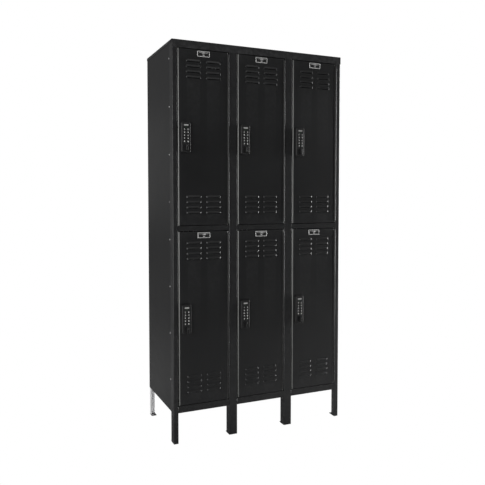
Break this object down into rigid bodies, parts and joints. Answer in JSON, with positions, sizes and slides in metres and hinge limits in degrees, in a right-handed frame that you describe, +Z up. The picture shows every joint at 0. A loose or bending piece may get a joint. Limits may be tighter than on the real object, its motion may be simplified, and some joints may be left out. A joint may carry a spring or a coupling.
{
  "type": "locker cabinet",
  "caption": "Free-standing steel locker group on legs, with louvred hinged doors, keypad locks and compartments with coat hooks.",
  "frame": {"origin": "on the floor, at the middle of the object's width and of its depth including the lock knobs and the bolt heads at the back", "axes": "+X to the right as seen from the front, +Y towards the back, +Z up"},
  "size_m": [0.9574, 0.4992, 1.9812],
  "materials": {
    "black_powder_coat": "satin fine-texture powder coat, black",
    "plate_metal": "brushed silver number plate with a black field",
    "lock_case": "fine-grained black moulding",
    "key_plastic": "black keys with pale numerals",
    "knob_metal": "black coated die casting",
    "zinc_plate": "bright zinc plate",
    "dark_steel": "dull plated steel",
    "pin_steel": "bare steel pin",
    "bolt_steel": "black-coated bolts"
  },
  "bodies": {
    "root": {"back_panels": "black_powder_coat", "bottom_shelves": "black_powder_coat", "coat_hooks": "zinc_plate", "end_stiles": "black_powder_coat", "fasteners": "bolt_steel", "front_feet": "black_powder_coat", "header_rail": "black_powder_coat", "hinge_frame_leaves": "black_powder_coat", "hinge_pins": "pin_steel", "mid_rails": "black_powder_coat", "mid_shelves": "black_powder_coat", "mullions": "black_powder_coat", "partitions": "black_powder_coat", "rear_feet": "dark_steel", "rear_legs": "zinc_plate", "side_panels": "black_powder_coat", "sill_rails": "black_powder_coat", "top_panel": "black_powder_coat"},
    "door_1": {"door_panel_1": "black_powder_coat", "hinge_door_leaf_1": "black_powder_coat", "number_plate_1": "plate_metal", "lock_housing_1": "lock_case", "lock_rear_case_1": "lock_case"},
    "knob_1": {"lock_knob_1": "knob_metal"},
    "keys_1": {"lock_keys_1": "key_plastic"},
    "door_2": {"door_panel_2": "black_powder_coat", "hinge_door_leaf_2": "black_powder_coat", "number_plate_2": "plate_metal", "lock_housing_2": "lock_case", "lock_rear_case_2": "lock_case"},
    "knob_2": {"lock_knob_2": "knob_metal"},
    "keys_2": {"lock_keys_2": "key_plastic"},
    "door_3": {"door_panel_3": "black_powder_coat", "hinge_door_leaf_3": "black_powder_coat", "number_plate_3": "plate_metal", "lock_housing_3": "lock_case", "lock_rear_case_3": "lock_case"},
    "knob_3": {"lock_knob_3": "knob_metal"},
    "keys_3": {"lock_keys_3": "key_plastic"},
    "door_4": {"door_panel_4": "black_powder_coat", "hinge_door_leaf_4": "black_powder_coat", "number_plate_4": "plate_metal", "lock_housing_4": "lock_case", "lock_rear_case_4": "lock_case"},
    "knob_4": {"lock_knob_4": "knob_metal"},
    "keys_4": {"lock_keys_4": "key_plastic"},
    "door_5": {"door_panel_5": "black_powder_coat", "hinge_door_leaf_5": "black_powder_coat", "number_plate_5": "plate_metal", "lock_housing_5": "lock_case", "lock_rear_case_5": "lock_case"},
    "knob_5": {"lock_knob_5": "knob_metal"},
    "keys_5": {"lock_keys_5": "key_plastic"},
    "door_6": {"door_panel_6": "black_powder_coat", "hinge_door_leaf_6": "black_powder_coat", "number_plate_6": "plate_metal", "lock_housing_6": "lock_case", "lock_rear_case_6": "lock_case"},
    "knob_6": {"lock_knob_6": "knob_metal"},
    "keys_6": {"lock_keys_6": "key_plastic"}
  },
  "joints": [
    {"name": "door_1_hinge", "type": "hinge", "parent": "root", "child": "door_1", "pos_m": [-0.18208, -0.2115, 1.5115], "axis": [0, 0, 1], "range_deg": [0, 115]},
    {"name": "knob_1_turn", "type": "hinge", "parent": "door_1", "child": "knob_1", "pos_m": [-0.41325, -0.23, 1.461], "axis": [0, 1, 0], "range_deg": [0, 90]},
    {"name": "keys_1_press", "type": "slide", "parent": "door_1", "child": "keys_1", "axis": [0, 1, 0], "range_m": [0, 0.001], "stiffness_N_per_m": 800},
    {"name": "door_2_hinge", "type": "hinge", "parent": "root", "child": "door_2", "pos_m": [0.13408, -0.2115, 1.5115], "axis": [0, 0, 1], "range_deg": [0, 115]},
    {"name": "knob_2_turn", "type": "hinge", "parent": "door_2", "child": "knob_2", "pos_m": [-0.09708, -0.23, 1.461], "axis": [0, 1, 0], "range_deg": [0, 90]},
    {"name": "keys_2_press", "type": "slide", "parent": "door_2", "child": "keys_2", "axis": [0, 1, 0], "range_m": [0, 0.001], "stiffness_N_per_m": 800},
    {"name": "door_3_hinge", "type": "hinge", "parent": "root", "child": "door_3", "pos_m": [0.45025, -0.2115, 1.5115], "axis": [0, 0, 1], "range_deg": [0, 115]},
    {"name": "knob_3_turn", "type": "hinge", "parent": "door_3", "child": "knob_3", "pos_m": [0.21908, -0.23, 1.461], "axis": [0, 1, 0], "range_deg": [0, 90]},
    {"name": "keys_3_press", "type": "slide", "parent": "door_3", "child": "keys_3", "axis": [0, 1, 0], "range_m": [0, 0.001], "stiffness_N_per_m": 800},
    {"name": "door_4_hinge", "type": "hinge", "parent": "root", "child": "door_4", "pos_m": [-0.18208, -0.2115, 0.6201], "axis": [0, 0, 1], "range_deg": [0, 115]},
    {"name": "knob_4_turn", "type": "hinge", "parent": "door_4", "child": "knob_4", "pos_m": [-0.41325, -0.23, 0.5696], "axis": [0, 1, 0], "range_deg": [0, 90]},
    {"name": "keys_4_press", "type": "slide", "parent": "door_4", "child": "keys_4", "axis": [0, 1, 0], "range_m": [0, 0.001], "stiffness_N_per_m": 800},
    {"name": "door_5_hinge", "type": "hinge", "parent": "root", "child": "door_5", "pos_m": [0.13408, -0.2115, 0.6201], "axis": [0, 0, 1], "range_deg": [0, 115]},
    {"name": "knob_5_turn", "type": "hinge", "parent": "door_5", "child": "knob_5", "pos_m": [-0.09708, -0.23, 0.5696], "axis": [0, 1, 0], "range_deg": [0, 90]},
    {"name": "keys_5_press", "type": "slide", "parent": "door_5", "child": "keys_5", "axis": [0, 1, 0], "range_m": [0, 0.001], "stiffness_N_per_m": 800},
    {"name": "door_6_hinge", "type": "hinge", "parent": "root", "child": "door_6", "pos_m": [0.45025, -0.2115, 0.6201], "axis": [0, 0, 1], "range_deg": [0, 115]},
    {"name": "knob_6_turn", "type": "hinge", "parent": "door_6", "child": "knob_6", "pos_m": [0.21908, -0.23, 0.5696], "axis": [0, 1, 0], "range_deg": [0, 90]},
    {"name": "keys_6_press", "type": "slide", "parent": "door_6", "child": "keys_6", "axis": [0, 1, 0], "range_m": [0, 0.001], "stiffness_N_per_m": 800}
  ]
}
